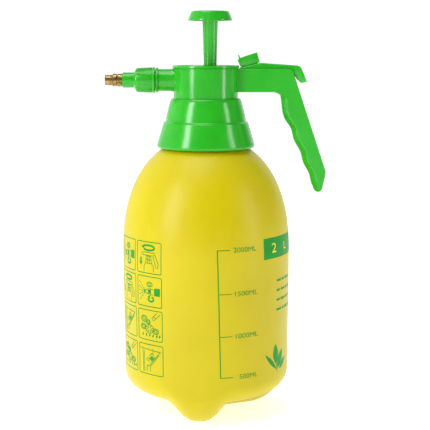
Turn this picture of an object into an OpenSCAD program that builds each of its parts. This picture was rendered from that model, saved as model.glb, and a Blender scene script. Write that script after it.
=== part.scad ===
// Two-litre hand pump sprayer: a blow-moulded pressure bottle, a screw-on head with a
// plunger pump, a thumb lever with its valve, and an adjustable brass nozzle.
// Z is up. The bottle's axis is the Z axis and the three feet stand on Z = 0.
// The grip is on the +X side and the nozzle on the -X side. Sizes are in millimetres.

/* [Bottle] */
// Outer radius of the bottle
bottle_r = 65.4; // [65:0.1:66]
// Wall of the bottle
bottle_wall = 1.8; // [1.4:0.1:2.2]
// Height at which the straight side turns into the dome
dome_z = 127; // [126:0.5:128]
// Height of the dome if it ran on to its point
dome_h = 90; // [89:0.5:91]
// Fullness of the dome, 2 for an ellipse and more for a squarer one
dome_full = 2.3; // [2.2:0.05:2.35]
// Lowest point of the bottom between the feet
bottom_z = 18; // [16:0.5:19]
// Rounding of the bottom edge
bottom_round = 16; // [14:0.5:17]
// Distance from the axis at which each foot's flat ends
foot_end = 36; // [34:0.5:38]
// Width of each foot's flat
foot_flat = 5; // [4:0.5:6]
// Direction of the first foot
foot_turn = -97; // [-110:1:-80]

/* [Neck and collar] */
// Outer radius of the neck
neck_r = 26.5; // [26.4:0.1:26.6]
// Height of the neck's rim
neck_top = 236; // [236:1:236]
// Rise of the neck thread in one turn
neck_pitch = 4; // [4:0.5:4]
// Outer radius of the skirt's widest point
skirt_r = 38; // [37.5:0.1:38.5]

/* [Head] */
// Outer radius of the head's barrel
head_r = 24.95; // [24.9:0.05:25]
// Radius of the room inside the head
head_bore_r = 23.2; // [23:0.1:23.3]
// Height of the head's upper rim
head_top = 270; // [270:1:270]
// Radius of the round cap on the head
cap_r = 25.85; // [25.6:0.05:26]
// Thickness of the round cap
cap_t = 2; // [1.8:0.1:2]
// Height of the nozzle's axis
nozzle_z = 260.7; // [260.6:0.05:260.8]

/* [Pump] */
// Offset of the pump's axis towards the grip
pump_x = 3.4; // [3.2:0.1:3.5]
// Bore radius of the pump barrel
pump_bore_r = 12; // [11.9:0.05:12]
// Wall of the pump barrel
pump_wall = 1.5; // [1.3:0.1:1.5]
// Lower end of the pump barrel
pump_bottom = 183; // [178:1:185]
// Height of the knob's underside as it stands
knob_z = 306; // [300:1:310]
// Radius of the knob's lower rim
knob_r = 17; // [16:0.5:19]

/* [Grip and trigger] */
// Width of the arm and grip
arm_w = 15; // [14.6:0.2:16]
// Width of the slot that the lever moves in
slot_w = 10.6; // [10.6:0.1:10.8]
// Width of the thumb lever
lever_w = 10; // [9.6:0.1:10]
// Place of the valve along the arm
valve_x = 40; // [39.5:0.25:40.5]

/* [Hidden] */
$fn = 96;

// Colours of the mouldings and fittings
yellow = "#ecd92a";
green = "#32b428";
clear = "#d8e4dc";
white = "#e8e8e4";
black = "#232323";
brass = "#b08a48";
steel = "#b8bcc0";

eps = 0.01;
fit = 0.05;                                   // radial room of a running fit
neck_bore_r = neck_r - 2;
thread_crest_r = neck_r + 1.5;
thread_turns = 1.75;
thread_z = 218;                               // middle of the neck thread's first ring
gasket_t = 2;
floor_z = neck_top + gasket_t;                // underside of the head's floor
floor_top = floor_z + 5;
flange_r = neck_r - 0.2;
flange_top = floor_z + 3.3;
pump_r = pump_bore_r + pump_wall;
shoulder_r = 16.2;                            // the barrel's shoulder on the head's floor
barrel_top = head_top - 4;
stem_r = 5;
stem_top_r = 5.9;
piston_z = 225;                               // underside of the piston
piston_h = 10;
dip_y = -19.6;
dip_r = 2.5;
dip_bore_r = 1.7;
dip_end = 26;
hose_ring_r = 20.2;                           // middle line of the hoses in the head
hose_r = 1.9;
hose_bore_r = 1;
hose_gap = 2.5;                               // angle left free at each hose's end
socket_r = 2.7;                               // outside of the sockets that take the hoses
socket_bore_r = 2.3;
socket_end = 3.4;                             // mouth of each hose socket
socket_seat = 0.8;                            // where each hose ends in its socket
inlet_z = 255.5;
outlet_z = 262.3;
arm_bottom = 251.5;
arm_top = 269.5;
arm_floor = 253;
valve_r = 5.2;
seat_z = 260.05;                              // underside of the valve seat
pivot_x = 29;                                 // the lever's pin
pivot_z = 267;
pin_r = 1.5;
pin_near = 6.4;                               // the lever's pin stops inside the near wall
lever_under = 267.6;
lock_x = 33.5;                                // the lock's pin
lock_z = 268.2;
lock_pin_r = 1;
lock_w = 5.8;
lock_tilt = 17;                               // tilt of the lock as it stands
spigot_r = 8.6;
spigot_end = -36.7;
bead_r = 9.6;
holder_thread_r = 6.6;

// A point of a superellipse with half axes a and b, for an angle from 0 to 90
function full_arc(a, b, n, t) = [a * pow(cos(t), 2 / n), b * pow(sin(t), 2 / n)];

// A round stretch of an outline
function arc(x, y, r, from, to, steps = 8) =
    [for (i = [0 : steps]) let (t = from + (to - from) * i / steps) [x + r * cos(t), y + r * sin(t)]];

// Outline of the bottle shrunk by its wall t, from the axis up to the neck's radius r
function bottle_outline(t, r) =
    let (a = bottle_r - t, b = dome_h - t, last = acos(pow(r / a, dome_full / 2)))
    concat(
        [[0, bottom_z + t]],
        [for (i = [1 : 3]) [(a - bottom_round) * i / 4, bottom_z + t + 0.1 * i * i]],
        arc(bottle_r - bottom_round, bottom_z + 1.5 + bottom_round, bottom_round - t, -90, 0),
        [for (i = [0 : 22]) let (p = full_arc(a, b, dome_full, last * i / 22)) [p[0], dome_z + p[1]]]
    );

// One helical ridge; ring holds its four corners, anticlockwise in radius and height
module ridge(ring, pitch, turns, steps = 63) {
    points = [
        for (i = [0 : steps]) let (t = 360 * turns * i / steps)
        for (q = ring) [q[0] * cos(t), q[0] * sin(t), q[1] + pitch * t / 360]
    ];
    sides = [
        for (i = [0 : steps - 1]) for (j = [0 : 3])
        let (a = 4 * i + j, b = 4 * i + (j + 1) % 4)
        each [[a, b, b + 4], [a, b + 4, a + 4]]
    ];
    last = 4 * steps;
    polyhedron(points, concat(sides, [[3, 2, 1], [3, 1, 0], [last, last + 1, last + 2], [last, last + 2, last + 3]]));
}

// A ring of round section about the Z axis
module o_ring(mid_r, section_r) {
    rotate_extrude() translate([mid_r, 0]) circle(r = section_r, $fn = 24);
}

// A tube or rod from x0 to x1 on the nozzle's axis
module along_x(x0, x1, r, z = nozzle_z) {
    translate([min(x0, x1), 0, z]) rotate([0, 90, 0]) cylinder(r = r, h = abs(x1 - x0));
}

// A pin across the arm
module across_arm(x, z, r, w) {
    translate([x, w / 2, z]) rotate([90, 0, 0]) cylinder(r = r, h = w, $fn = 48);
}

// A plate of width w whose outline lies in the X-Z plane
module upright_plate(outline, w) {
    translate([0, w / 2, 0]) rotate([90, 0, 0]) linear_extrude(w) polygon(outline);
}

// ---------------------------------------------------------------- bottle

// One foot: a ridge that runs out from the axis, with a narrow flat below and an outer end that sweeps up
// to the wall. It is made smaller by t for the hollow inside it.
module foot(t) {
    sweep = 30;
    reach = 22;
    wall_x = foot_end + (sweep - t) * cos(20);
    side = concat([[6, sweep], [14 + t, t]], arc(foot_end, sweep, sweep - t, -90, -20, 8), [[wall_x, 50], [6, 50]]);
    half = [for (i = [0 : 9]) [foot_flat / 2 + (reach - t - foot_flat / 2) * i / 9, 0]];
    section = [for (p = half) [p[0], t + pow(p[0] - foot_flat / 2, 2) / 21]];
    mirrored = [for (i = [len(section) - 1 : -1 : 0]) [-section[i][0], section[i][1]]];
    intersection() {
        upright_plate(side, 60);
        rotate([90, 0, 90]) linear_extrude(100) polygon(concat(section, [[reach - t, 50], [t - reach, 50]], mirrored));
    }
}

// The bottle's outer or inner skin with its three feet
module bottle_skin(t, r) {
    rotate_extrude() polygon(concat(bottle_outline(t, r), [[0, dome_z + dome_h - 20]]));
    for (i = [0 : 2]) rotate([0, 0, foot_turn + 120 * i]) foot(t);
}

module bottle() {
    color(yellow) {
        difference() {
            union() {
                bottle_skin(0, neck_r);
                translate([0, 0, dome_z + 70]) cylinder(r = neck_r, h = neck_top - dome_z - 70);
            }
            bottle_skin(bottle_wall, neck_bore_r);
            translate([0, 0, dome_z + 60]) cylinder(r = neck_bore_r, h = neck_top);
        }
        translate([0, 0, thread_z])
            ridge([[neck_r - 0.3, -1.15], [thread_crest_r, -0.6], [thread_crest_r, 0.6], [neck_r - 0.3, 1.15]],
                  neck_pitch, thread_turns);
    }
}

module neck_gasket() {
    color(black) translate([0, 0, neck_top]) difference() {
        cylinder(r = neck_r, h = gasket_t);
        translate([0, 0, -1]) cylinder(r = neck_bore_r, h = gasket_t + 2);
    }
}

// ---------------------------------------------------------------- collar

// Outline of the stepped skirt outside, then back up through its threaded sleeve
module collar() {
    sleeve_r = thread_crest_r + 0.3;
    outside = [
        [head_r + 0.3, 246.9], [25.9, 246.7], [27.2, 245.6], [27.8, 244.2], [32, 228.8],
        [33.0, 228], [33.2, 227.1], [skirt_r, 211], [skirt_r - 0.2, 209.4], [skirt_r - 1.7, 208.4]
    ];
    inside = [
        [skirt_r - 3.4, 208.4], [skirt_r - 3, 211], [31.2, 225.6], [30.5, 225.6], [30.5, 213.4],
        [sleeve_r, 213.4], [sleeve_r, flange_top + fit], [head_r + 0.3, flange_top + fit]
    ];
    color(green) {
        rotate_extrude() polygon(concat(outside, inside));
        translate([0, 0, thread_z - neck_pitch / 2])
            ridge([[neck_r + 0.5, -0.6], [sleeve_r + 0.3, -1.15], [sleeve_r + 0.3, 1.15], [neck_r + 0.5, 0.6]],
                  neck_pitch, thread_turns);
    }
}

// ---------------------------------------------------------------- head

// Swings of the grip's finger side about its straight line: [height, offset], with crests and hollows
finger_swings = [
    [251.5, 1.9], [232, -1.7], [223, 0.4], [214.5, -0.6], [205.5, 0.9], [196.5, 0], [188.5, 1.2], [180, 0.3]
];

// The finger side's place along X at height z: a cosine ramp between neighbouring swings
function swing(z, i = 0) =
    let (a = finger_swings[i], b = finger_swings[i + 1])
    z >= b[0] || i == len(finger_swings) - 2
        ? a[1] + (b[1] - a[1]) * (1 - cos(180 * (a[0] - z) / (a[0] - b[0]))) / 2
        : swing(z, i + 1);
function finger_x(z) = 151.8 - 0.3855 * z + swing(z);
function back_x(z) = 155.1 - 0.3242 * z;

// The arm and grip from the side
function arm_outline() = concat(
    [[20, arm_bottom], [54.7, arm_bottom]],
    [for (z = [arm_bottom - 2 : -2.5 : 180]) [finger_x(z), z]],
    arc(87.4, 177.6, 3.4, -165, -20, 5),
    [[93, 187.4]],
    arc(91.8, 190, 1.4, -10, 20, 3),
    arc(64.6, 267, 2.5, 20, 90, 5),
    [[20, arm_top]]
);

// The channel inside the arm and grip, open above and behind
function channel_outline() = concat(
    [[25.6, arm_floor], [57, arm_floor]],
    [for (z = [248 : -4 : 188]) [finger_x(z) + 2.6, z]],
    [[87.5, 184], [93.5, 184], [120, 190], [120, 300], [25.6, 300]]
);

// A cross rib of the grip
module grip_rib(z) {
    upright_plate([[finger_x(z), z], [finger_x(z + 1.6), z + 1.6], [back_x(z) - 1.5, z + 1.6], [back_x(z) - 1, z]],
                  slot_w + 1);
}

module head_shell() {
    translate([0, 0, floor_z]) cylinder(r = flange_r, h = flange_top - floor_z);
    translate([0, 0, floor_z]) cylinder(r = head_r, h = head_top - floor_z);
    along_x(-20, spigot_end, spigot_r);
    along_x(spigot_end, spigot_end - 1.9, bead_r);
    along_x(spigot_end - 1.9, -49, 7);
    difference() {
        upright_plate(arm_outline(), arm_w);
        upright_plate(channel_outline(), slot_w);
    }
    for (z = [196, 211, 226, 240]) grip_rib(z);
}

// The block inside the head that turns the outlet hose into the spigot
module spigot_block() {
    intersection() {
        translate([-head_r, -4, outlet_z - 5.5]) cube([head_r - 17, 4 + socket_end, 8.5]);
        translate([0, 0, floor_z]) cylinder(r = head_r, h = 40);
    }
}

module head_housing() {
    color(green) difference() {
        union() {
            difference() {
                head_shell();
                translate([0, 0, floor_top]) cylinder(r = head_bore_r, h = 40);
            }
            spigot_block();
        }
        translate([pump_x, 0, floor_z - 1]) cylinder(r = pump_r + 0.1, h = 10);
        translate([pump_x, 0, floor_top - 2.5]) cylinder(r = pump_r + 2.5, h = 5);
        translate([0, dip_y, floor_z - 1]) cylinder(r = dip_r + 0.1, h = 10, $fn = 48);
        along_x(-60, -hose_ring_r, 1.6);
        translate([-hose_ring_r - 1, -1.2, nozzle_z - 1.2]) cube([2, 1.2 + socket_seat + eps, outlet_z - nozzle_z + 2]);
        translate([-hose_ring_r, socket_seat, outlet_z]) rotate([-90, 0, 0]) cylinder(r = socket_bore_r, h = 6, $fn = 48);
        translate([20, -2.8, arm_floor - 0.8]) cube([10, 5.6, 30]);
        translate([0, (20 - pin_near) / 2, 0]) across_arm(pivot_x, pivot_z, pin_r + fit, 20 + pin_near);
    }
}

// The round cap on the head, with a boss on the pump barrel and a guide for the plunger
module pump_cap() {
    outline = [
        [6.3, 262], [9, 262], [9, head_top - 1.5], [pump_bore_r - 0.3, head_top - 1.5],
        [pump_bore_r - 0.3, barrel_top], [shoulder_r, barrel_top], [shoulder_r, head_top], [6.3, head_top]
    ];
    color(green) difference() {
        union() {
            translate([pump_x, 0, 0]) rotate_extrude() polygon(outline);
            translate([0, 0, head_top]) cylinder(r = cap_r, h = cap_t);
            translate([0, 0, head_top - 3]) difference() {
                cylinder(r = head_bore_r - 0.1, h = 3 + eps);
                translate([0, 0, -1]) cylinder(r = head_bore_r - 1.6, h = 6);
            }
        }
        translate([pump_x, 0, 200]) cylinder(r = 6.3, h = 100);
    }
}

// ---------------------------------------------------------------- pump

module pump_barrel() {
    color(white) translate([pump_x, 0, 0]) difference() {
        union() {
            translate([0, 0, pump_bottom]) cylinder(r = pump_r, h = barrel_top - pump_bottom);
            translate([0, 0, floor_top]) cylinder(r = shoulder_r, h = 2);
        }
        translate([0, 0, pump_bottom + 2.5]) cylinder(r = pump_bore_r, h = 100);
        translate([0, 0, pump_bottom - 1]) cylinder(r = 1.6, h = 10, $fn = 32);
        for (i = [0 : 3]) rotate([0, 0, 45 + 90 * i])
            translate([4.5, 0, pump_bottom - 1]) cylinder(r = 1.2, h = 10, $fn = 32);
    }
}

module barrel_oring() {
    color(black) translate([pump_x, 0, floor_top - 1.25]) o_ring(pump_r + 1.25, 1.15);
}

// Rubber umbrella valve under the barrel, held by its stem
module check_valve() {
    outline = [
        [0, -2.6], [2, -2.5], [5.6, -1.6], [7, -0.9], [7, 0], [1.5, 0],
        [1.5, 2.5], [2.4, 2.6], [1.2, 4.6], [0, 4.6]
    ];
    color(black) translate([pump_x, 0, pump_bottom]) rotate_extrude() polygon(outline);
}

// The knob and its tapering stem, one moulding
module plunger() {
    skirt = [
        [stem_top_r, knob_z - 0.5], [stem_top_r, knob_z + 4.5], [knob_r - 4, knob_z + 4.2], [knob_r - 1.6, knob_z],
        [knob_r, knob_z], [knob_r, knob_z + 1.1], [knob_r - 0.4, knob_z + 1.4], [14.6, knob_z + 6.3],
        [13.6, knob_z + 7.3], [12.4, knob_z + 7.5], [0, knob_z + 7.5]
    ];
    stem = [[0, piston_z + 4], [stem_r, piston_z + 4], [stem_r, 273]];
    color(green) translate([pump_x, 0, 0]) rotate_extrude() polygon(concat(stem, skirt));
}

// The piston, free to turn on the end of the stem
module piston() {
    land_r = pump_bore_r - 0.3;
    outline = [
        [0, 0], [land_r, 0], [land_r, 3.4], [9.4, 3.4], [9.4, 6.6], [land_r, 6.6], [land_r, 8.4],
        [8, piston_h], [stem_r + fit, piston_h], [stem_r + fit, 4 - fit], [0, 4 - fit]
    ];
    color(white) translate([pump_x, 0, piston_z]) rotate_extrude() polygon(outline);
}

module piston_seal() {
    color(black) translate([pump_x, 0, piston_z + 5]) rotate_extrude()
        polygon([[9.45, -1.5], [pump_bore_r - fit, -1.2], [pump_bore_r - fit, 1.2], [9.45, 1.5]]);
}

// ---------------------------------------------------------------- way of the liquid

module dip_tube() {
    color(clear) translate([0, dip_y, dip_end]) difference() {
        cylinder(r = dip_r, h = floor_top + 6.9 - dip_end, $fn = 48);
        translate([0, 0, -1]) cylinder(r = dip_bore_r, h = 300, $fn = 48);
    }
}

// The slotted filter cup on the end of the dip tube
module strainer() {
    color(white) translate([0, dip_y, 0]) difference() {
        union() {
            translate([0, 0, dip_end - 4]) cylinder(r = 4.5, h = 9);
            translate([0, 0, dip_end + 5]) cylinder(r = 3.6, h = 5);
        }
        translate([0, 0, dip_end - 2.8]) cylinder(r = 3.4, h = 2.8);
        translate([0, 0, dip_end - eps]) cylinder(r = dip_r + fit, h = 20, $fn = 48);
        for (i = [0 : 3]) rotate([0, 0, 45 * i]) translate([-10, -0.5, dip_end - 3]) cube([20, 1, 2.6]);
    }
}

// The elbow on the head's floor that joins the dip tube and the inlet hose
module dip_tube_elbow() {
    color(white) difference() {
        union() {
            translate([0, dip_y, floor_top]) cylinder(r = 3.4, h = 15, $fn = 48);
            translate([0, -hose_ring_r, inlet_z]) rotate([0, 90, 0]) cylinder(r = socket_r, h = socket_end, $fn = 48);
        }
        translate([0, dip_y, floor_top - 1]) cylinder(r = dip_r + fit, h = 8, $fn = 48);
        translate([0, dip_y, floor_top]) cylinder(r = 1.2, h = inlet_z - floor_top + 0.5, $fn = 32);
        translate([0, -hose_ring_r, inlet_z]) rotate([0, 90, 0]) cylinder(r = 1, h = 6, $fn = 32);
        translate([socket_seat, -hose_ring_r, inlet_z]) rotate([0, 90, 0]) cylinder(r = socket_bore_r, h = 6, $fn = 48);
    }
}

// A hose bent round inside the head, from one direction to the other
module head_hose(z, from, to) {
    translate([0, 0, z]) rotate([0, 0, from]) rotate_extrude(angle = to - from)
        translate([hose_ring_r, 0]) difference() {
            circle(r = hose_r, $fn = 32);
            circle(r = hose_bore_r, $fn = 32);
        }
}

module inlet_hose() {
    color(clear) head_hose(inlet_z, -90 + hose_gap, -hose_gap);
}

module outlet_hose() {
    color(clear) head_hose(outlet_z, hose_gap, 180 - hose_gap);
}

// ---------------------------------------------------------------- valve

// A pipe from the valve into the head that ends in a socket; side is -1 or 1 along Y
module valve_pipe(z) {
    along_x(hose_ring_r - 1, valve_x, 2.4, z);
}

module valve_socket(z, side) {
    translate([hose_ring_r, 0, z]) rotate([-90 * side, 0, 0]) 
        translate([0, 0, -2.4]) cylinder(r = socket_r, h = 2.4 + socket_end, $fn = 48);
}

module valve_channel(z, side) {
    along_x(hose_ring_r, valve_x, 1, z);
    translate([hose_ring_r, 0, z]) rotate([-90 * side, 0, 0]) {
        translate([0, 0, -1.2]) cylinder(r = 1.2, h = 4, $fn = 32);
        translate([0, 0, socket_seat]) cylinder(r = socket_bore_r, h = 6, $fn = 48);
    }
}

module valve_body() {
    color(white) difference() {
        union() {
            translate([valve_x, 0, arm_floor]) cylinder(r = valve_r, h = 12.5);
            valve_pipe(inlet_z);
            valve_pipe(outlet_z);
            valve_socket(inlet_z, -1);
            valve_socket(outlet_z, 1);
        }
        valve_channel(inlet_z, -1);
        valve_channel(outlet_z, 1);
        translate([valve_x, 0, arm_floor - 1]) cylinder(r = 3.4, h = seat_z - arm_floor + 1);
        translate([valve_x, 0, arm_floor]) cylinder(r = 1.8, h = 20, $fn = 48);
        translate([valve_x, 0, seat_z + 1]) cylinder(r = 3, h = 20, $fn = 48);
    }
}

module valve_plug() {
    color(white) translate([valve_x, 0, arm_floor]) cylinder(r = 3.4 - fit, h = 1, $fn = 48);
}

// The spring's outer shape: turns of wire joined by a thin skin at the coil's radius
module valve_spring() {
    turn = (seat_z - 1.85 - arm_floor - 1.05) / 4;
    color(steel) translate([valve_x, 0, arm_floor + 1.02]) {
        for (i = [0 : 3]) translate([0, 0, turn * (i + 0.5)]) o_ring(2.5, 0.35);
        difference() {
            cylinder(r = 2.6, h = 4 * turn, $fn = 32);
            translate([0, 0, -1]) cylinder(r = 2.4, h = 20, $fn = 32);
        }
    }
}

module valve_stem() {
    color(steel) translate([valve_x, 0, 0]) {
        translate([0, 0, seat_z - 5]) cylinder(r = 1, h = lever_under - 2 * fit - seat_z + 5, $fn = 32);
        translate([0, 0, seat_z - 1.85]) cylinder(r = 2.4, h = 0.8, $fn = 32);
    }
}

module valve_washer() {
    color(black) translate([valve_x, 0, seat_z - 1.05]) difference() {
        cylinder(r = 2.9, h = 1, $fn = 48);
        translate([0, 0, -1]) cylinder(r = 1, h = 3, $fn = 32);
    }
}

module stem_oring() {
    color(black) translate([valve_x, 0, 264.1]) o_ring(1.95, 0.9);
}

module valve_gland() {
    color(white) translate([valve_x, 0, 0]) difference() {
        union() {
            translate([0, 0, 265.02]) cylinder(r = 3 - fit, h = 0.6, $fn = 48);
            translate([0, 0, 265.5]) cylinder(r = 4.2, h = 0.5, $fn = 48);
        }
        translate([0, 0, 260]) cylinder(r = 1 + fit, h = 10, $fn = 32);
    }
}

// ---------------------------------------------------------------- thumb lever and its lock

// The lever from the side: a low nose, a gentle rise, a straight back and a tail behind the grip
function lever_outline() = concat(
    arc(pivot_x + 0.2, pivot_z, 2.9, 180, 300, 6),
    [[36.2, lever_under], [58, lever_under]],
    arc(60, 255.6, 12, 90, 30, 5),
    [[73.5, 258.6], [78, 259.2], [75.6, 265.6]],
    arc(69.6, 267.2, 4.8, 20, 86, 5),
    [[55.8, 273], [43, 273.9], [38, 273.2], [33, 271.7], [28.6, 270.6], [26.3, 270.5]]
);

module trigger_lever() {
    fork = [[20, 260], [36.2, 260], [37.4, 269.7], [45, 269.7], [45, 280], [20, 280]];
    color(green) difference() {
        upright_plate(lever_outline(), lever_w);
        across_arm(pivot_x, pivot_z, pin_r + fit, 40);
        across_arm(lock_x, lock_z, lock_pin_r, 40);
        upright_plate(fork, 6.4);
    }
}

// The lever's pin goes in from the far side and stops inside the near wall
module trigger_pin() {
    color(steel) translate([0, (arm_w / 2 - pin_near) / 2, 0])
        across_arm(pivot_x, pivot_z, pin_r, arm_w / 2 + pin_near);
}

// The lock: a tilted block with a thin fin, on a shank between the lever's cheeks
module trigger_lock() {
    block = [[-5.6, 4.7], [-6.4, 10], [-4.3, 11.2], [9.7, 11.5], [9.65, 3.5]];
    shank = [[3, 1.2], [2.2, -1], [0, -1.9], [-2, -1.2], [-2.4, 1]];
    fin = [[-5, 10], [-5, 13.6], [-4, 13.8], [-3.8, 10]];
    color(green) difference() {
        translate([lock_x, 0, lock_z]) rotate([0, -lock_tilt, 0]) {
            upright_plate(concat(shank, block), lock_w);
            upright_plate(fin, lock_w);
        }
        across_arm(lock_x, lock_z, lock_pin_r + fit, 40);
    }
}

module lock_pin() {
    color(steel) across_arm(lock_x, lock_z, lock_pin_r, lever_w);
}

// ---------------------------------------------------------------- nozzle

// The green holder: a wide ribbed nut on the spigot that narrows to the brass nozzle
module nozzle_holder() {
    outline = [
        [-39.1, 7 + fit], [-39.1, 9.7], [-39.5, 10.15], [-40.6, 10.15], [-41, 9.9], [-53.4, 9.25], [-53.8, 9], [-55.3, 6.3],
        [-55.6, 5.95], [-64.35, 5.95], [-64.35, 4], [-56, 4], [-56, 1.7], [-50.6, 1.7], [-50.6, 7 + fit]
    ];
    color(green) translate([0, 0, nozzle_z]) rotate([0, 90, 0]) rotate_extrude()
        polygon([for (p = outline) [p[1], p[0]]]);
}

module nozzle_washer() {
    color(black) difference() {
        along_x(-50.55, -49.05, 6.6);
        along_x(-60, -40, 2.2);
    }
}

// The brass stem: a threaded shank, a knurled ring and the nose that the cap closes on
module nozzle_stem() {
    color(brass) difference() {
        union() {
            along_x(-57, -64.4, 4 - fit);
            along_x(-64.4, -68.46, 4.95);
            along_x(-68.4, -72.5, 3);
            translate([-74.7, 0, nozzle_z]) rotate([0, 90, 0]) cylinder(r1 = 0.3, r2 = 1.8, h = 2.3, $fn = 48);
        }
        along_x(-50, -70.6, 1);
        translate([-71.4, 0, nozzle_z]) rotate([90, 0, 0]) cylinder(r = 0.6, h = 10, center = true, $fn = 32);
        along_x(-50, -71.6, 0.8);
    }
}

// The brass cap: a knurled ring and a plain tip with the spray hole
module nozzle_cap() {
    color(brass) difference() {
        union() {
            along_x(-68.85, -72.06, 4.95);
            along_x(-72, -77.9, 4);
        }
        along_x(-60, -74.4, 3 + fit);
        along_x(-60, -80, 0.6);
        along_x(-77.2, -80, 1.6);
        along_x(-69.6, -71, 3.75);
        translate([-80, -0.35, nozzle_z + 3.2]) cube([7.4, 0.7, 2]);
        translate([-80, -0.35, nozzle_z - 5.2]) cube([7.4, 0.7, 2]);
    }
}

module cap_oring() {
    color(black) translate([-70.3, 0, nozzle_z]) rotate([0, 90, 0]) rotate_extrude()
        polygon([[3.03, -0.6], [3.73, -0.6], [3.73, 0.6], [3.03, 0.6]]);
}

bottle();
neck_gasket();
collar();
head_housing();
pump_cap();
pump_barrel();
barrel_oring();
check_valve();
plunger();
piston();
piston_seal();
dip_tube();
strainer();
dip_tube_elbow();
inlet_hose();
outlet_hose();
valve_body();
valve_plug();
valve_spring();
valve_stem();
valve_washer();
stem_oring();
valve_gland();
trigger_lever();
trigger_pin();
trigger_lock();
lock_pin();
nozzle_holder();
nozzle_washer();
nozzle_stem();
nozzle_cap();
cap_oring();
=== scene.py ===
"""Garden pressure sprayer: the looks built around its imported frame, in metres."""

import logging
import math
from dataclasses import dataclass, field
from enum import Enum
from typing import Any, Callable, Sequence

import bpy
from mathutils import Matrix, Vector


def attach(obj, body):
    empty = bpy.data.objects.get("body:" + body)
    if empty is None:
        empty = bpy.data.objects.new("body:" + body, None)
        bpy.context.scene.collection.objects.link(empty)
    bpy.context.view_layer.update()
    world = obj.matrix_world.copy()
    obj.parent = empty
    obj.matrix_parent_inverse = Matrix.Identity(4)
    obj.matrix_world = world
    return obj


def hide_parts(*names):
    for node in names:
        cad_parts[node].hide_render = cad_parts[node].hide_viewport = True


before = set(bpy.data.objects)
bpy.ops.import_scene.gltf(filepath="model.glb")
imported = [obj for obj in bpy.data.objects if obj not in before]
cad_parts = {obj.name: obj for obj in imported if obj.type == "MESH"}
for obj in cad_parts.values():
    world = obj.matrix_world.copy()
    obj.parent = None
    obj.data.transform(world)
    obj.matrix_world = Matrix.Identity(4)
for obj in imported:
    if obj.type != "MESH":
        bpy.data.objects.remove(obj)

MM = 0.001
SEAM = 0.002
PIVOT = (29.0, 267.0)
log = logging.getLogger("sprayer")
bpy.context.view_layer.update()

Outline = Sequence[tuple[float, float]]
Piece = bpy.types.Object
Tree = bpy.types.NodeTree
Socket = bpy.types.NodeSocket


# ---------------------------------------------------------------- workshop helpers


def open_mesh() -> None:
    """Opens the active mesh for editing."""
    bpy.ops.object.mode_set(mode="EDIT")


def close_mesh() -> None:
    """Ends the editing of the active mesh."""
    bpy.ops.object.mode_set(mode="OBJECT")


def pick_all() -> None:
    """Selects all of the mesh that is open."""
    bpy.ops.mesh.select_all(action="SELECT")


def deselect() -> None:
    """Clears the selection, so that an operator only acts on what is chosen next."""
    if bpy.context.object and bpy.context.object.mode != "OBJECT":
        close_mesh()
    bpy.ops.object.select_all(action="DESELECT")


def choose(piece: Piece) -> None:
    """Makes one object the only selected one, and the active one."""
    deselect()
    piece.select_set(True)
    bpy.context.view_layer.objects.active = piece


def chain(name: str, points: Sequence[Vector]) -> Piece:
    """Draws a line through points by extruding one vertex from each to the next.

    Args:
        name: The new piece's name.
        points: Places in millimetres.

    Returns:
        An object at the origin, in edit mode, with every vertex selected.
    """
    deselect()
    bpy.ops.mesh.primitive_plane_add(size=MM, location=(0, 0, 0))
    piece = bpy.context.object
    piece.name = name
    piece.data.name = name
    open_mesh()
    bpy.ops.mesh.select_mode(type="VERT")
    pick_all()
    bpy.ops.mesh.merge(type="CENTER")
    bpy.ops.transform.translate(value=points[0] * MM)
    for here, there in zip(points, points[1:]):
        bpy.ops.mesh.extrude_vertices_move(TRANSFORM_OT_translate={"value": (there - here) * MM})
    pick_all()
    return piece


def tidy_shell() -> None:
    """Closes seams and poles of the mesh in edit mode and points its faces outwards."""
    pick_all()
    bpy.ops.mesh.remove_doubles(threshold=SEAM * MM)
    bpy.ops.mesh.normals_make_consistent(inside=False)


def joined(pieces: Sequence[Piece]) -> Piece:
    """Joins pieces into the first of them and returns it."""
    deselect()
    for piece in pieces:
        piece.select_set(True)
    bpy.context.view_layer.objects.active = pieces[0]
    if len(pieces) > 1:
        bpy.ops.object.join()
    return bpy.context.object


def shift(
    piece: Piece,
    at: Sequence[float],
    degrees: float,
    axis: str,
    lean: float = 0.0,
) -> Piece:
    """Turns a piece's mesh about the origin and then moves it.

    Args:
        piece: The object, which stays at the origin itself.
        at: Where its middle goes, in millimetres.
        degrees: How far it turns.
        axis: The axis of that turn, "X", "Y" or "Z".
        lean: Degrees that it turns about Z before the other turn.

    Returns:
        The same object.
    """
    turn = Matrix.Rotation(math.radians(degrees), 4, axis) @ Matrix.Rotation(math.radians(lean), 4, "Z")
    piece.data.transform(Matrix.Translation(Vector(at) * MM) @ turn)
    return piece


def turned(
    name: str,
    outline: Outline,
    axis: str = "Z",
    centre: tuple[float, float, float] = (0, 0, 0),
    steps: int = 96,
    closed: bool = False,
) -> Piece:
    """Turns an outline round an axis, as on a lathe.

    Args:
        name: The new piece's name.
        outline: Pairs of (distance from the axis, place along the axis) in millimetres.
        axis: "Z" or "X", the way that the axis runs.
        centre: A point of the axis in millimetres.
        steps: Facets round the piece.
        closed: True for a ring, whose last point joins the first.

    Returns:
        The turned mesh as an object at the origin.
    """
    middle = Vector(centre)
    along = Vector((0, 0, 1)) if axis == "Z" else Vector((1, 0, 0))
    out = Vector((1, 0, 0)) if axis == "Z" else Vector((0, 0, 1))
    points = [middle + out * r + along * s for r, s in outline]
    if closed:
        points.append(points[0])
    piece = chain(name, points)
    if closed:
        bpy.ops.mesh.remove_doubles(threshold=0.001 * MM)
    pick_all()
    bpy.ops.mesh.spin(steps=steps, angle=math.tau, center=middle * MM, axis=along, dupli=False)
    tidy_shell()
    close_mesh()
    return piece


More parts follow.
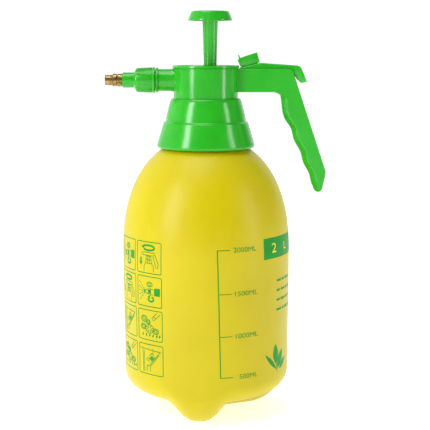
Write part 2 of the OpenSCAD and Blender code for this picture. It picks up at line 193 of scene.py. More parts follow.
def plate(name: str, outline: Outline, width: float) -> Piece:
    """Cuts a plate that stands in the X-Z plane, with its middle at Y = 0.

    Args:
        name: The new piece's name.
        outline: Pairs of (x, z) in millimetres.
        width: Thickness along Y in millimetres.

    Returns:
        The plate as an object at the origin.
    """
    piece = chain(name, [Vector((x, -width / 2, z)) for x, z in outline])
    bpy.ops.mesh.edge_face_add()
    bpy.ops.mesh.extrude_region_move(TRANSFORM_OT_translate={"value": (0, width * MM, 0)})
    tidy_shell()
    close_mesh()
    return piece


def slab(name: str, low: Sequence[float], high: Sequence[float]) -> Piece:
    """Makes a block between two corners, as a cutter or as stock to be shaped.

    Args:
        name: The block's name.
        low: Its lowest corner in millimetres.
        high: Its highest corner in millimetres.

    Returns:
        The block as an object at the origin.
    """
    deselect()
    bpy.ops.mesh.primitive_cube_add(size=MM, location=(0, 0, 0))
    piece = bpy.context.object
    piece.name = name
    size = Vector(high) - Vector(low)
    centre = (Vector(high) + Vector(low)) / 2
    open_mesh()
    pick_all()
    bpy.ops.transform.resize(value=size)
    bpy.ops.transform.translate(value=centre * MM)
    close_mesh()
    return piece


def drill(name: str, radius: float, x: float, z: float, start: float, end: float) -> Piece:
    """Makes a cutter for a pin's hole, which runs along Y.

    Args:
        name: The cutter's name.
        radius: Radius of the hole in millimetres.
        x: Where its axis is.
        z: Height of its axis.
        start: Where it begins along Y.
        end: Where it ends along Y.

    Returns:
        The cutter as an object at the origin.
    """
    length = end - start
    cutter = turned(name, ((0, 0), (radius, 0), (radius, length), (0, length)), steps=24)
    return shift(cutter, (x, start, z), -90, "X")


def modify(piece: Piece, kind: str, **settings: Any) -> Piece:
    """Adds a modifier with its settings and applies it.

    Args:
        piece: The object to change.
        kind: Blender's name of the modifier.
        **settings: The modifier's values.

    Returns:
        The same object.
    """
    choose(piece)
    modifier = piece.modifiers.new(kind.title(), kind)
    for key, value in settings.items():
        setattr(modifier, key, value)
    bpy.ops.object.modifier_apply(modifier=modifier.name)
    return piece


class Joining(Enum):
    """How a tool meets the piece that it works on."""

    CUT = "DIFFERENCE"
    ADD = "UNION"


def work(piece: Piece, tools: Sequence[Piece], how: Joining) -> Piece:
    """Cuts a piece with tools or joins them to it, and removes the tools.

    Args:
        piece: The object to change.
        tools: Closed meshes.
        how: Cut or add.

    Returns:
        The same object.
    """
    for tool in tools:
        modify(piece, "BOOLEAN", operation=how.value, object=tool, solver="EXACT")
        bpy.data.objects.remove(tool)
    return piece


def smooth(piece: Piece, angle: float = 32.0) -> Piece:
    """Shades a piece smooth, but for its edges sharper than an angle in degrees."""
    choose(piece)
    bpy.ops.object.shade_smooth_by_angle(angle=math.radians(angle))
    return piece


def oval(
    x: float, y: float, rx: float, ry: float, start: float = 0, end: float = 360, steps: int = 0
) -> list[tuple[float, float]]:
    """Gives points along an oval arc.

    Args:
        x: First coordinate of its centre.
        y: Second coordinate of its centre.
        rx: Half its width.
        ry: Half its height.
        start: First angle in degrees.
        end: Last angle in degrees.
        steps: Spaces between the points, or 0 for one each 18 degrees.

    Returns:
        The points, from start to end.
    """
    steps = steps or max(6, round(abs(end - start) / 18))
    angles = [math.radians(start + (end - start) * i / steps) for i in range(steps + 1)]
    return [(x + rx * math.cos(a), y + ry * math.sin(a)) for a in angles]


def arc(x: float, z: float, r: float, start: float, end: float, steps: int) -> list[tuple[float, float]]:
    """Gives points along a round arc, in a number of equal steps."""
    return oval(x, z, r, r, start, end, steps)


def ease(value: float) -> float:
    """Gives the smooth step of a number from 0 to 1."""
    t = min(max(value, 0.0), 1.0)
    return t * t * (3 - 2 * t)


# ---------------------------------------------------------------- finishes


def linear(colour: str) -> tuple[float, float, float, float]:
    """Turns an sRGB hex colour to the linear values that a shader works in.

    Args:
        colour: Six hex digits after a hash.

    Returns:
        Linear red, green and blue, and 1 for opaque.
    """
    parts = [int(colour[i : i + 2], 16) / 255 for i in (1, 3, 5)]
    low, high = [c / 12.92 for c in parts], [((c + 0.055) / 1.055) ** 2.4 for c in parts]
    mixed = [a if c <= 0.04045 else b for a, b, c in zip(low, high, parts)]
    return (mixed[0], mixed[1], mixed[2], 1.0)


def node(
    tree: Tree,
    kind: str,
    settings: dict[str, Any] | None = None,
    sockets: dict[Any, Any] | None = None,
    stops: Sequence[tuple[float, Any]] = (),
) -> bpy.types.Node:
    """Adds a node with its settings and links.

    Args:
        tree: The material's node tree.
        kind: Blender's class of the node.
        settings: The node's own options.
        sockets: For each input, a value or the output that feeds it.
        stops: Places and colours for a colour ramp.

    Returns:
        The new node.
    """
    made = tree.nodes.new(kind)
    for key, value in (settings or {}).items():
        setattr(made, key, value)
    for key, value in (sockets or {}).items():
        if isinstance(value, Socket):
            tree.links.new(value, made.inputs[key])
        else:
            made.inputs[key].default_value = value
    for index, (place, colour) in enumerate(stops):
        ramp = made.color_ramp
        element = ramp.elements[index] if index < 2 else ramp.elements.new(place)
        element.position = place
        element.color = colour
    return made


def blank(name: str) -> tuple[bpy.types.Material, Tree]:
    """Starts a material and gives it back with its empty node tree."""
    material = bpy.data.materials.new(name)
    material.use_nodes = True
    material.node_tree.nodes.clear()
    return material, material.node_tree


def cloud(tree: Tree, size: float, detail: float) -> Socket:
    """Adds a soft noise over the piece.

    Args:
        tree: The material's node tree.
        size: Size of its patches in millimetres.
        detail: Number of finer layers.

    Returns:
        The output with the noise.
    """
    place = node(tree, "ShaderNodeTexCoord").outputs["Object"]
    sockets = {"Vector": place, "Scale": 1 / (size * MM), "Detail": detail}
    return node(tree, "ShaderNodeTexNoise", None, sockets).outputs["Fac"]


def shades(tree: Tree, value: Any, *stops: tuple[float, str]) -> Socket:
    """Turns a value to a colour between two sRGB hex colours at their stops."""
    made = [(place, linear(colour)) for place, colour in stops]
    return node(tree, "ShaderNodeValToRGB", None, {"Fac": value}, made).outputs["Color"]


def span(tree: Tree, value: Any, ends: Outline, **options: Any) -> Socket:
    """Maps a value from one span to another.

    Args:
        tree: The node tree.
        value: The output to map.
        ends: The first span and the second one, each as (low, high).
        **options: Settings of the node.

    Returns:
        The mapped output.
    """
    (low, high), (to_low, to_high) = ends
    sockets = {"Value": value, "From Min": low, "From Max": high, "To Min": to_low, "To Max": to_high}
    return node(tree, "ShaderNodeMapRange", options, sockets).outputs["Result"]


def raised(tree: Tree, height: Any, depth: float, strength: float) -> Socket:
    """Gives the normal of a surface with a relief of a depth in millimetres."""
    sockets = {"Height": height, "Distance": depth * MM, "Strength": strength}
    return node(tree, "ShaderNodeBump", None, sockets).outputs["Normal"]


def surface(tree: Tree, **sockets: Any) -> None:
    """Adds the surface shader, whose inputs are named with underscores, and its output."""
    named = {key.replace("_", " "): value for key, value in sockets.items()}
    shader = node(tree, "ShaderNodeBsdfPrincipled", {"subsurface_method": "RANDOM_WALK"}, named)
    node(tree, "ShaderNodeOutputMaterial", None, {"Surface": shader.outputs["BSDF"]})


@dataclass(frozen=True)
class Moulding:
    """A moulded plastic: two close shades, a gloss, and the fine skin of its mould.

    Attributes:
        name: What the real material and process are called.
        shade: Main colour as sRGB hex.
        deep: The darker shade that it drifts to.
        gloss: Roughness.
        drift: Size of the colour drift in millimetres.
        skin: Size of the mould's grain in millimetres.
        relief: Depth of the grain in millimetres.
        glow: Share of the light that enters the plastic.
        reach: How far that light travels inside, in millimetres.
        index: Index of refraction.
    """

    name: str
    shade: str
    deep: str
    gloss: float
    drift: float
    skin: float
    relief: float
    glow: float = 0.0
    reach: float = 1.0
    index: float = 1.49

    def make(self) -> bpy.types.Material:
        """Builds the material's nodes and returns it."""
        material, tree = blank(self.name)
        drift = cloud(tree, self.drift, 3.0)
        gloss = (self.gloss * 0.85, self.gloss * 1.15)
        surface(
            tree,
            Base_Color=shades(tree, drift, (0.3, self.deep), (0.7, self.shade)),
            Roughness=span(tree, drift, ((0.25, 0.75), gloss)),
            Normal=raised(tree, cloud(tree, self.skin, 2.0), self.relief, 1.0),
            IOR=self.index,
            Subsurface_Weight=self.glow,
            Subsurface_Scale=self.reach * MM,
            Subsurface_Radius=(1.0, 0.9, 0.3),
        )
        return material


@dataclass(frozen=True)
class TurnedMetal:
    """A metal part off the lathe: fine rings from the tool, and tarnish in patches.

    Attributes:
        name: What the real material and process are called.
        shade: Bright colour as sRGB hex.
        tarnish: Colour of the dull patches.
        gloss: Roughness of the bright metal.
        ring: Spacing of the tool marks in millimetres.
        along: The axis of the lathe, "X" or "Z".
    """

    name: str
    shade: str
    tarnish: str
    gloss: float
    ring: float
    along: str = "X"

    def make(self) -> bpy.types.Material:
        """Builds the material's nodes and returns it."""
        material, tree = blank(self.name)
        place = node(tree, "ShaderNodeTexCoord").outputs["Object"]
        patches = cloud(tree, 2.5, 4.0)
        rings = node(
            tree,
            "ShaderNodeTexWave",
            {"wave_type": "BANDS", "bands_direction": self.along},
            {"Vector": place, "Scale": 1 / (20 * self.ring * MM) * math.tau, "Distortion": 0.3},
        )
        surface(
            tree,
            Base_Color=shades(tree, patches, (0.35, self.tarnish), (0.6, self.shade)),
            Roughness=span(tree, patches, ((0.35, 0.65), (self.gloss * 1.5, self.gloss))),
            Normal=raised(tree, rings.outputs["Fac"], 0.01, 0.6),
            Metallic=1.0,
        )
        return material


# Blow-moulded HDPE: waxy and a little see-through, so its highlights are broad and soft
BOTTLE_HDPE = Moulding("blow_moulded_hdpe", "#c7b800", "#c0b000", 0.38, 60, 1.6, 0.012, 0.25, 2.5, 1.36)
# Injection-moulded polypropylene: bright and glossy, with sharp strip highlights
GREEN_PP = Moulding("injection_moulded_polypropylene", "#29ac20", "#22a01a", 0.2, 30, 1.1, 0.006, 0.12, 1.5)
# Screen ink: a thin satin coat, duller than the plastic under it
SCREEN_INK = Moulding("screen_printed_ink", "#0d9322", "#08861c", 0.42, 6, 0.5, 0.004, index=1.3)
# Screen ink in the same yellow as the bottle, for the figure on the banner
YELLOW_INK = Moulding("screen_printed_yellow_ink", "#efdf2c", "#e6d524", 0.42, 6, 0.5, 0.004)
# Turned brass, lacquered at the factory: warm, with the tool's rings
BRASS = TurnedMetal("turned_brass", "#a58e5c", "#6b4c22", 0.26, 0.35)
# Drawn stainless steel pins and spring
STEEL = TurnedMetal("drawn_stainless_steel", "#c9cccf", "#9a9ea3", 0.22, 0.4)
# Moulded acetal: off-white, hard and satin
WHITE_ACETAL = Moulding("moulded_acetal", "#e9e9e4", "#dededa", 0.32, 12, 0.8, 0.005, 0.15, 1.0)
# Nitrile rubber seals: matt black
NITRILE = Moulding("moulded_nitrile_rubber", "#262626", "#1c1c1d", 0.62, 8, 0.5, 0.01)
# Extruded LDPE tube: milky, with a soft shine
LDPE_TUBE = Moulding("extruded_ldpe_tube", "#dfe6e0", "#d2dad4", 0.28, 20, 1.0, 0.004, 0.4, 2.0)


def dress(piece: Piece, material: bpy.types.Material) -> None:
    """Gives a piece one material over all of it."""
    piece.data.materials.clear()
    piece.data.materials.append(material)


def dress_green(piece: Piece) -> None:
    """Gives a piece the green plastic that all the green mouldings share."""
    dress(piece, bpy.data.materials[GREEN_PP.name])


def redress(names: Sequence[str], material: bpy.types.Material) -> None:
    """Gives CAD nodes a material in the slots that they already have.

    Args:
        names: The nodes' names.
        material: What they are made of.
    """
    for name in names:
        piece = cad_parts[name]
        if not piece.material_slots:
            piece.data.materials.append(material)
        for slot in piece.material_slots:
            slot.material = material
        log.info("dressed CAD node %s", name)


def settle(piece: Piece, body: str, slot: str, *nodes: str) -> None:
    """Puts a finished piece on its body and hides the CAD nodes that it replaces.

    Args:
        piece: The finished mesh.
        body: The CAD body that it rides on.
        slot: Name of a material slot; not used.
        *nodes: CAD nodes that it replaces.
    """
    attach(piece, body)
    if nodes:
        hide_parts(*nodes)
    log.info("built %s on body %s with %d faces", piece.name, body, len(piece.data.polygons))


def green_part(piece: Piece, angle: float, body: str, replaced: str) -> None:
    """Finishes a green moulding and sets it on its body.

    Args:
        piece: The finished mesh.
        angle: Edges sharper than this many degrees stay crisp.
        body: The CAD body that it rides on.
        replaced: The CAD node that it replaces.
    """
    smooth(piece, angle)
    dress_green(piece)
    settle(piece, body, "green_pp", replaced)


# ---------------------------------------------------------------- bottle


@dataclass
class Bottle:
    """Blow-moulded tank with a domed shoulder, a threaded neck and three feet.

    Sizes are in millimetres, and directions in degrees from the X axis.
    """

    radius: float = 65.4
    wall: float = 1.8
    dome_start: float = 127.0
    dome_height: float = 90.0
    dome_power: float = 2.3
    floor: float = 18.0
    heel: float = 16.0
    neck: float = 26.5
    rim: float = 236.0
    feet: tuple[float, ...] = (-97.0, 23.0, 143.0)
    foot_flat: tuple[float, float] = (14.0, 36.0)
    foot_sweep: float = 30.0
    foot_width: float = 21.0
    foot_ridge: float = 2.5
    waist: float = 0.7
    thread: dict[str, float] = field(
        default_factory=lambda: {"start": 218.0, "pitch": 4.0, "turns": 1.75, "crest": 28.0}
    )

    def across_dome(self, z: float) -> float:
        """Gives the radius of the plain round body at a height."""
        if z <= self.dome_start:
            return self.radius
        share = min((z - self.dome_start) / self.dome_height, 1.0)
        return max(self.radius * (1 - share**self.dome_power) ** (1 / self.dome_power), self.neck)

    def lobe(self, angle: float) -> float:
        """Says how near a direction is to a foot: 1 over its middle, 0 between feet."""
        total = 0.0
        for foot in self.feet:
            away = (angle - foot + 180) % 360 - 180
            total += math.exp(-((away / 26) ** 2))
        return min(total, 1.0)

    def surface(self, angle: float, z: float) -> float:
        """Gives the radius of the outside at a direction and a height.

        Args:
            angle: Degrees from the X axis.
            z: Height in millimetres.

        Returns:
            The radius in millimetres.
        """
        drawn_in = self.waist * (1 - self.lobe(angle)) * (1 - ease((z - 45) / 65))
        return self.across_dome(z) - drawn_in

    def outline(self) -> list[tuple[float, float]]:
        """Draws the side of the plain round body, from the middle of its floor to the rim."""
        flat = self.radius - self.heel
        low = self.floor + self.heel
        points = [(flat * i / 16, self.floor) for i in range(16)]
        points += arc(flat, low, self.heel, -90, 0, 14)
        points += [(self.radius, low + (self.dome_start - low) * i / 22) for i in range(1, 23)]
        for i in range(1, 40):
            z = self.dome_start + self.dome_height * math.sin(math.radians(90 * i / 40))
            r = self.across_dome(z)
            if r > self.neck + 1.2:
                points.append((r, z))
        top = points[-1][1]
        points += [(self.neck + 0.4, top + 1.2), (self.neck, top + 2.6), (self.neck, self.rim - 0.6)]
        points += [(self.neck - 0.3, self.rim)]
        return points

    def foot_height(self, x: float, y: float) -> float:
        """Gives the height of the nearest foot's underside above the ground.

        Args:
            x: Place in millimetres.
            y: Place in millimetres.

        Returns:
            The height in millimetres.
        """
        inner, outer = self.foot_flat
        best = 1000.0
        for foot in self.feet:
            turn = math.radians(foot)
            along = x * math.cos(turn) + y * math.sin(turn)
            aside = y * math.cos(turn) - x * math.sin(turn)
            reach = min(max(along - outer, 0.0), self.foot_sweep - 0.01)
            side = self.foot_sweep - math.sqrt(self.foot_sweep**2 - reach**2)
            if along < inner:
                side = (inner - along) ** 2 / 22
            best = min(best, side + max(abs(aside) - self.foot_ridge, 0.0) ** 2 / self.foot_width)
        return best

    def shape(self, piece: Piece) -> None:
        """Presses the three feet and the drawn-in waist into the round body."""
        low = self.floor + self.heel
        for vertex in piece.data.vertices:
            x, y, z = (c / MM for c in vertex.co)
            r = math.hypot(x, y)
            if z > self.dome_start:
                continue
            angle = math.degrees(math.atan2(y, x))
            blend = 3.0
            reached = self.foot_height(x, y)
            level = min(z, low)
            mix = math.exp(-level / blend) + math.exp(-reached / blend)
            drop = -blend * math.log(mix) - level if mix > 0 else 0.0
            drop = max(min(drop, 0.0), -level)
            fade = 1 - ease((z - low) / 45)
            z += drop * fade
            if r > 1:
                wanted = r - (self.across_dome(z) - self.surface(angle, z)) * ease((r - 30) / 30)
                x, y = x * wanted / r, y * wanted / r
            vertex.co = Vector((x, y, z)) * MM

    def neck_thread(self) -> Piece:
        """Winds the neck's thread and returns it."""
        crest, start = self.thread["crest"], self.thread["start"]
        root = self.neck - 0.3
        section = [(root, -1.15), (crest, -0.6), (crest, 0.6), (root, 1.15), (root, -1.15)]
        piece = chain("neck_thread", [Vector((r, 0, start + s)) for r, s in section])
        bpy.ops.mesh.remove_doubles(threshold=0.001 * MM)
        close_mesh()
        turns = self.thread["turns"]
        modify(
            piece,
            "SCREW",
            angle=math.tau * turns,
            screw_offset=self.thread["pitch"] * turns * MM,
            steps=84,
            render_steps=84,
            use_merge_vertices=False,
        )
        choose(piece)
        open_mesh()
        pick_all()
        bpy.ops.mesh.fill_holes(sides=4)
        tidy_shell()
        close_mesh()
        return piece

    def build(self) -> None:
        """Models the tank, dresses it and sets it on its body."""
        piece = turned("bottle_tank", self.outline(), steps=180)
        self.shape(piece)
        modify(piece, "SOLIDIFY", thickness=self.wall * MM, offset=-1.0, use_even_offset=False)
        smooth(piece, 40)
        hdpe = BOTTLE_HDPE.make()
        dress(piece, hdpe)
        settle(piece, "bottle", "bottle_hdpe", "bottle")
        thread = self.neck_thread()
        smooth(thread)
        dress(thread, hdpe)
        settle(thread, "bottle", "bottle_hdpe")


# ---------------------------------------------------------------- print on the bottle


class Panel(Enum):
    """The little pictures of the instructions."""

    OPEN = "turn the head off and lift it"
    NOZZLE = "turn the nozzle for a finer spray"
    PLANTS = "spray plants"
    WINDOW = "spray a window"


@dataclass
class Picture:
    """One framed picture: its lines, its thick lines, and its filled shapes, from 0 to 1 each way."""

    lines: list[Outline] = field(default_factory=list)
    thick: list[Outline] = field(default_factory=list)
    fills: list[Outline] = field(default_factory=list)

    def open_the_head(self) -> None:
        """Draws a sprayer, an arrow round its head and an arrow down."""
        self.lines += [
            [(0.3, 0.0), (0.3, 0.2), (0.38, 0.3), (0.66, 0.3), (0.74, 0.2), (0.74, 0.0)],
            [(0.37, 0.3), (0.4, 0.42), (0.64, 0.42), (0.67, 0.3)],
            [(0.4, 0.42), (0.42, 0.56), (0.62, 0.56), (0.64, 0.42)],
            [(0.2, 0.6), (0.2, 0.67), (0.42, 0.7), (0.8, 0.68), (0.8, 0.6), (0.62, 0.58), (0.42, 0.58)]
            + [(0.2, 0.6)],
            [(0.8, 0.64), (0.95, 0.3), (0.92, 0.14), (0.86, 0.16), (0.72, 0.56)],
            [(0.48, 0.3), (0.48, 0.56)],
            [(0.56, 0.3), (0.56, 0.56)],
        ]
        self.thick += [oval(0.52, 0.86, 0.26, 0.09, -150, 150), [(0.14, 0.5), (0.14, 0.3)]]
        self.fills += [[(0.16, 0.88), (0.32, 0.98), (0.3, 0.8)], [(0.06, 0.32), (0.14, 0.2), (0.22, 0.32)]]

    def turn_the_nozzle(self) -> None:
        """Draws a nozzle, its spray and an arrow round it."""
        for x, y in ((0.04, 0.86), (0.02, 0.66), (0.02, 0.5), (0.02, 0.34), (0.06, 0.14)):
            for first, last in ((0.1, 0.34), (0.44, 0.68), (0.78, 1.0)):
                ends = [(0.36 + (x - 0.36) * s, 0.5 + (y - 0.5) * s) for s in (first, last)]
                self.lines.append(ends)
        self.lines += [
            oval(0.42, 0.5, 0.07, 0.08),
            [(0.46, 0.6), (0.6, 0.64), (0.6, 0.36), (0.46, 0.4)],
            [(0.6, 0.6), (0.76, 0.6), (0.76, 0.4), (0.6, 0.4)],
            oval(0.54, 0.78, 0.13, 0.09),
            oval(0.54, 0.78, 0.07, 0.05),
        ]
        self.fills += [
            [(0.47, 0.57), (0.6, 0.6), (0.6, 0.4), (0.47, 0.43)],
            [(0.77, 0.66), (1.0, 0.66), (1.0, 0.36), (0.77, 0.36)],
            [(0.44, 0.3), (0.56, 0.38), (0.56, 0.22)],
        ]
        self.thick += [oval(0.6, 0.22, 0.12, 0.09, -200, 70)]

    def spray_plants(self) -> None:
        """Draws leafy plants under a nozzle."""
        tufts = [(0.24, 0.72, 0.15), (0.2, 0.42, 0.13), (0.5, 0.36, 0.2)]
        tufts += [(0.78, 0.3, 0.13), (0.44, 0.62, 0.1)]
        for x, y, size in tufts:
            self.lines.append(oval(x, y, size, size * 0.8))
            for turn in range(0, 360, 45):
                a = math.radians(turn)
                root = (x + size * 0.3 * math.cos(a), y + size * 0.3 * math.sin(a))
                tip = (x + size * 0.95 * math.cos(a + 0.3), y + size * 0.75 * math.sin(a + 0.3))
                self.lines.append([root, tip])
        for x in (0.12, 0.3, 0.46, 0.62, 0.78, 0.9):
            self.fills.append([(x, 0.1), (x + 0.06, 0.2), (x + 0.09, 0.12), (x + 0.03, 0.05)])
        self.lines += [
            [(0.62, 0.78), (0.84, 1.0)],
            [(0.7, 0.7), (0.98, 0.96)],
            [(0.62, 0.78), (0.7, 0.7)],
            [(0.7, 0.86), (0.78, 0.78)],
        ]

    def spray_a_window(self) -> None:
        """Draws a window, a sill and a sprayer on it."""
        self.lines += [
            [(0.0, 0.9), (0.97, 0.84)],
            [(0.12, 0.88), (0.16, 0.0)],
            [(0.2, 0.82), (0.22, 0.02)],
            [(0.95, 0.84), (0.48, 0.3)],
            [(0.9, 0.72), (0.52, 0.26)],
            oval(0.58, 0.6, 0.1, 0.14),
            [(0.5, 0.5), (0.36, 0.56), (0.3, 0.5), (0.46, 0.42)],
            [(0.34, 0.26), (0.34, 0.04)],
            [(0.5, 0.26), (0.5, 0.04)],
            [(0.34, 0.26), (0.5, 0.26)],
            [(0.54, 0.7), (0.64, 0.78), (0.62, 0.92)],
        ]
        self.fills += [[(0.5, 0.56), (0.58, 0.68), (0.66, 0.56), (0.58, 0.46)]]

    @classmethod
    def of(cls, panel: Panel) -> "Picture":
        """Draws the picture that a panel asks for."""
        picture = cls()
        drawings = {
            Panel.OPEN: picture.open_the_head,
            Panel.NOZZLE: picture.turn_the_nozzle,
            Panel.PLANTS: picture.spray_plants,
            Panel.WINDOW: picture.spray_a_window,
        }
        drawings[panel]()
        return picture


@dataclass
class BottlePrint:
    """Screen print round the bottle: scale, banner, lines, leaf and instruction pictures.

    Flat drawings have x along the wall, in millimetres from straight ahead, and y as the height.
    """

    bottle: Bottle
    film: float = 0.05
    lift: float = 0.03
    fine: float = 0.55
    bold: float = 1.5
    frame_width: float = 0.65
    frame_corner: float = 1.2
    frame_pad: float = 1.4
    scale_width: float = 0.8
    tick_length: float = 10.2
    tick_drop: float = 0.15
    mark_tall: float = 3.7
    banner_ends: tuple[float, float] = (42.0, 84.0)
    banner_rows: tuple[float, float] = (128.0, 144.0)
    bars_at: tuple[float, float] = (56.0, 109.2)
    bar_tall: float = 1.8
    bar_gap: float = 1.6
    row_step: float = 7.6
    sprout_at: tuple[float, float] = (57.5, 40.0)
    slices: tuple[float, float] = (1.6, 4.0)
    column_ends: Outline = ((-52.0, -30.3), (-76.4, -54.6))
    rows: Outline = ((118.2, 141.9), (92.8, 115.6), (66.7, 89.9), (40.0, 63.2))
    marks: tuple[tuple[str, float, float, float, float], ...] = (
        ("2000ML", 138.0, 7.8, 18.5, 19.4),
        ("1500ML", 105.0, 8.6, 19.6, 19.4),
        ("1000ML", 72.7, 9.3, 20.3, 19.4),
        ("500ML", 41.2, 10.0, 23.2, 16.0),
    )

    def along(self, degrees: float) -> float:
        """Turns a direction round the bottle into a length along its wall."""
        return math.radians(degrees) * self.bottle.radius

    def strip(self, path: Outline, width: float) -> tuple[list, list]:
        """Gives a line of ink some width.

        Args:
            path: The line's points.
            width: Its width in millimetres.

        Returns:
            Flat vertices and faces.
        """
        places, faces = [], []
        count = len(path)
        for i, (x, y) in enumerate(path):
            before = path[max(i - 1, 0)]
            after = path[min(i + 1, count - 1)]
            run = Vector((after[0] - before[0], after[1] - before[1]))
            if run.length < 1e-6:
                run = Vector((1, 0))
            side = Vector((-run.y, run.x)).normalized() * (width / 2)
            places += [(x + side.x, y + side.y, 0), (x - side.x, y - side.y, 0)]
            if i:
                faces.append((2 * i - 2, 2 * i - 1, 2 * i + 1, 2 * i))
        return places, faces

    def flat(self, name: str, strips: Sequence[tuple[Outline, float]], fills: Sequence[Outline]) -> Piece:
        """Draws lines and filled shapes as one flat mesh.

        Args:
            name: The mesh's name.
            strips: Lines, each with its width.
            fills: Outlines of filled shapes.

        Returns:
            The flat mesh.
        """
        places, faces = [], []
        for path, width in strips:
            new_places, new_faces = self.strip(path, width)
            faces += [tuple(i + len(places) for i in face) for face in new_faces]
            places += new_places
        for shape in fills:
            faces.append(tuple(range(len(places), len(places) + len(shape))))
            places += [(x, y, 0) for x, y in shape]
        mesh = bpy.data.meshes.new(name)
        mesh.from_pydata([tuple(c * MM for c in p) for p in places], [], faces)
        piece = bpy.data.objects.new(name, mesh)
        bpy.context.scene.collection.objects.link(piece)
        return piece

    def lettering(self, name: str, words: str, x: float, y: float, width: float, tall: float) -> Piece:
        """Sets a word as a flat mesh.

        Args:
            name: The mesh's name.
            words: What it says.
            x: Its left edge in millimetres.
            y: Its foot in millimetres.
            width: Its width in millimetres.
            tall: Its height in millimetres.

        Returns:
            The flat mesh, with its place in its vertices.
        """
        deselect()
        bpy.ops.object.text_add(location=(0, 0, 0))
        piece = bpy.context.object
        piece.name = name
        piece.data.body = words
        piece.data.size = 0.01
        piece.data.resolution_u = 4
        bpy.ops.object.convert(target="MESH")
        piece = bpy.context.object
        low = [min(v.co[i] for v in piece.data.vertices) for i in range(2)]
        high = [max(v.co[i] for v in piece.data.vertices) for i in range(2)]
        scale = (width * MM / (high[0] - low[0]), tall * MM / (high[1] - low[1]))
        move = Matrix.Translation((x * MM, y * MM, 0)) @ Matrix.Diagonal((scale[0], scale[1], 1, 1))
        piece.data.transform(move @ Matrix.Translation((-low[0], -low[1], 0)))
        return piece

    def wrap(self, parts: Sequence[Piece], name: str, level: int = 0) -> Piece:
        """Joins flat meshes, slices them fine enough to bend, and lays them on the bottle.

        Args:
            parts: Flat meshes.
            name: The finished film's name.
            level: How many layers of ink lie under it.

        Returns:
            The film as a thin closed skin on the bottle.
        """
        piece = joined(parts)
        piece.name = name
        piece.data.name = name
        xs = [v.co.x / MM for v in piece.data.vertices]
        ys = [v.co.y / MM for v in piece.data.vertices]
        open_mesh()
        for values, step, way in ((xs, self.slices[0], (1, 0, 0)), (ys, self.slices[1], (0, 1, 0))):
            for i in range(1, int((max(values) - min(values)) / step) + 1):
                at = (min(values) + i * step) * MM
                pick_all()
                bpy.ops.mesh.bisect(plane_co=Vector(way) * at, plane_no=way)
        close_mesh()
        out = self.lift + level * (self.film + self.lift)
        for vertex in piece.data.vertices:
            angle = math.degrees(vertex.co.x / MM / self.bottle.radius) - 90
            z = vertex.co.y / MM
            r = self.bottle.surface(angle, z) + out
            turn = math.radians(angle)
            vertex.co = Vector((r * math.cos(turn), r * math.sin(turn), z)) * MM
        modify(piece, "SOLIDIFY", thickness=self.film * MM, offset=1.0)
        return piece

    def scale(self) -> Piece:
        """Prints the litre scale with its numbers."""
        words = []
        strips = [([(self.along(angle), z) for _, z, angle, _, _ in self.marks], self.scale_width)]
        for text, z, angle, start, wide in self.marks:
            left = self.along(angle) - self.scale_width / 2
            tick = [(left, z), (left + self.tick_length, z - self.tick_drop)]
            strips.append((tick, self.fine))
            foot = z - 1.9
            words.append(
                self.lettering("mark_" + text, text, self.along(start), foot, wide, self.mark_tall)
            )
        return self.wrap([self.flat("scale_lines", strips, [])] + words, "print_scale")

    def banner(self) -> list[Piece]:
        """Prints the green banner with the bottle's volume left clear in yellow."""
        left, right = (self.along(end) for end in self.banner_ends)
        low, high = self.banner_rows
        corners = [(left, low), (right, low), (right, high), (left, high)]
        block = self.flat("banner_block", [], [corners])
        number = self.lettering("banner_number", "2", self.along(50.0), 132.4, 5.6, 7.4)
        unit = self.lettering("banner_unit", "L", self.along(66.0), 133.0, 4.0, 5.6)
        return [self.wrap([block], "print_banner"), self.wrap([number, unit], "print_volume", 1)]

    def reading_lines(self) -> Piece:
        """Prints rows of plain bars where care advice would stand."""
        words = ((6.2, 4.4, 8.0, 5.2), (4.8, 7.4, 3.6, 8.2), (5.0, 6.6, 4.2, 7.0), (7.6, 3.4, 6.0, 5.0))
        bars = []
        for row, lengths in enumerate(words):
            x = self.along(self.bars_at[0])
            z = self.bars_at[1] - row * self.row_step
            top = z + self.bar_tall
            for length in lengths:
                bars.append([(x, z), (x + length, z), (x + length, top), (x, top)])
                x += length + self.bar_gap
        return self.wrap([self.flat("reading_bars", [], bars)], "print_reading_lines")

    def sprout(self) -> Piece:
        """Prints a plain sprout with four leaves."""
        x, z = self.along(self.sprout_at[0]), self.sprout_at[1]
        leaves = (
            (0.0, 0.0, 20.5, 3.6, 137.0), (-0.6, 4.0, 16.5, 7.6, 96.0), (1.6, 0.6, 16.0, 7.0, 62.0),
            (4.2, -0.4, 14.0, 4.6, 32.0),
        )
        fills = []
        for ahead, up, length, width, tilt in leaves:
            way = Vector((math.cos(math.radians(tilt)), math.sin(math.radians(tilt))))
            edge = [(length * i / 10, width / 2 * math.sin(math.pi * i / 10) ** 0.8) for i in range(11)]
            edge += [(along, -aside) for along, aside in reversed(edge[1:-1])]
            fills.append(
                [(x + ahead + a * way.x - b * way.y, z + up + a * way.y + b * way.x) for a, b in edge]
            )
        stem = [(x + 0.6, z - 1.5), (x + 0.2, z + 1.5), (x + 0.4, z + 4.5)]
        return self.wrap([self.flat("sprout_shapes", [(stem, 1.0)], fills)], "print_sprout")

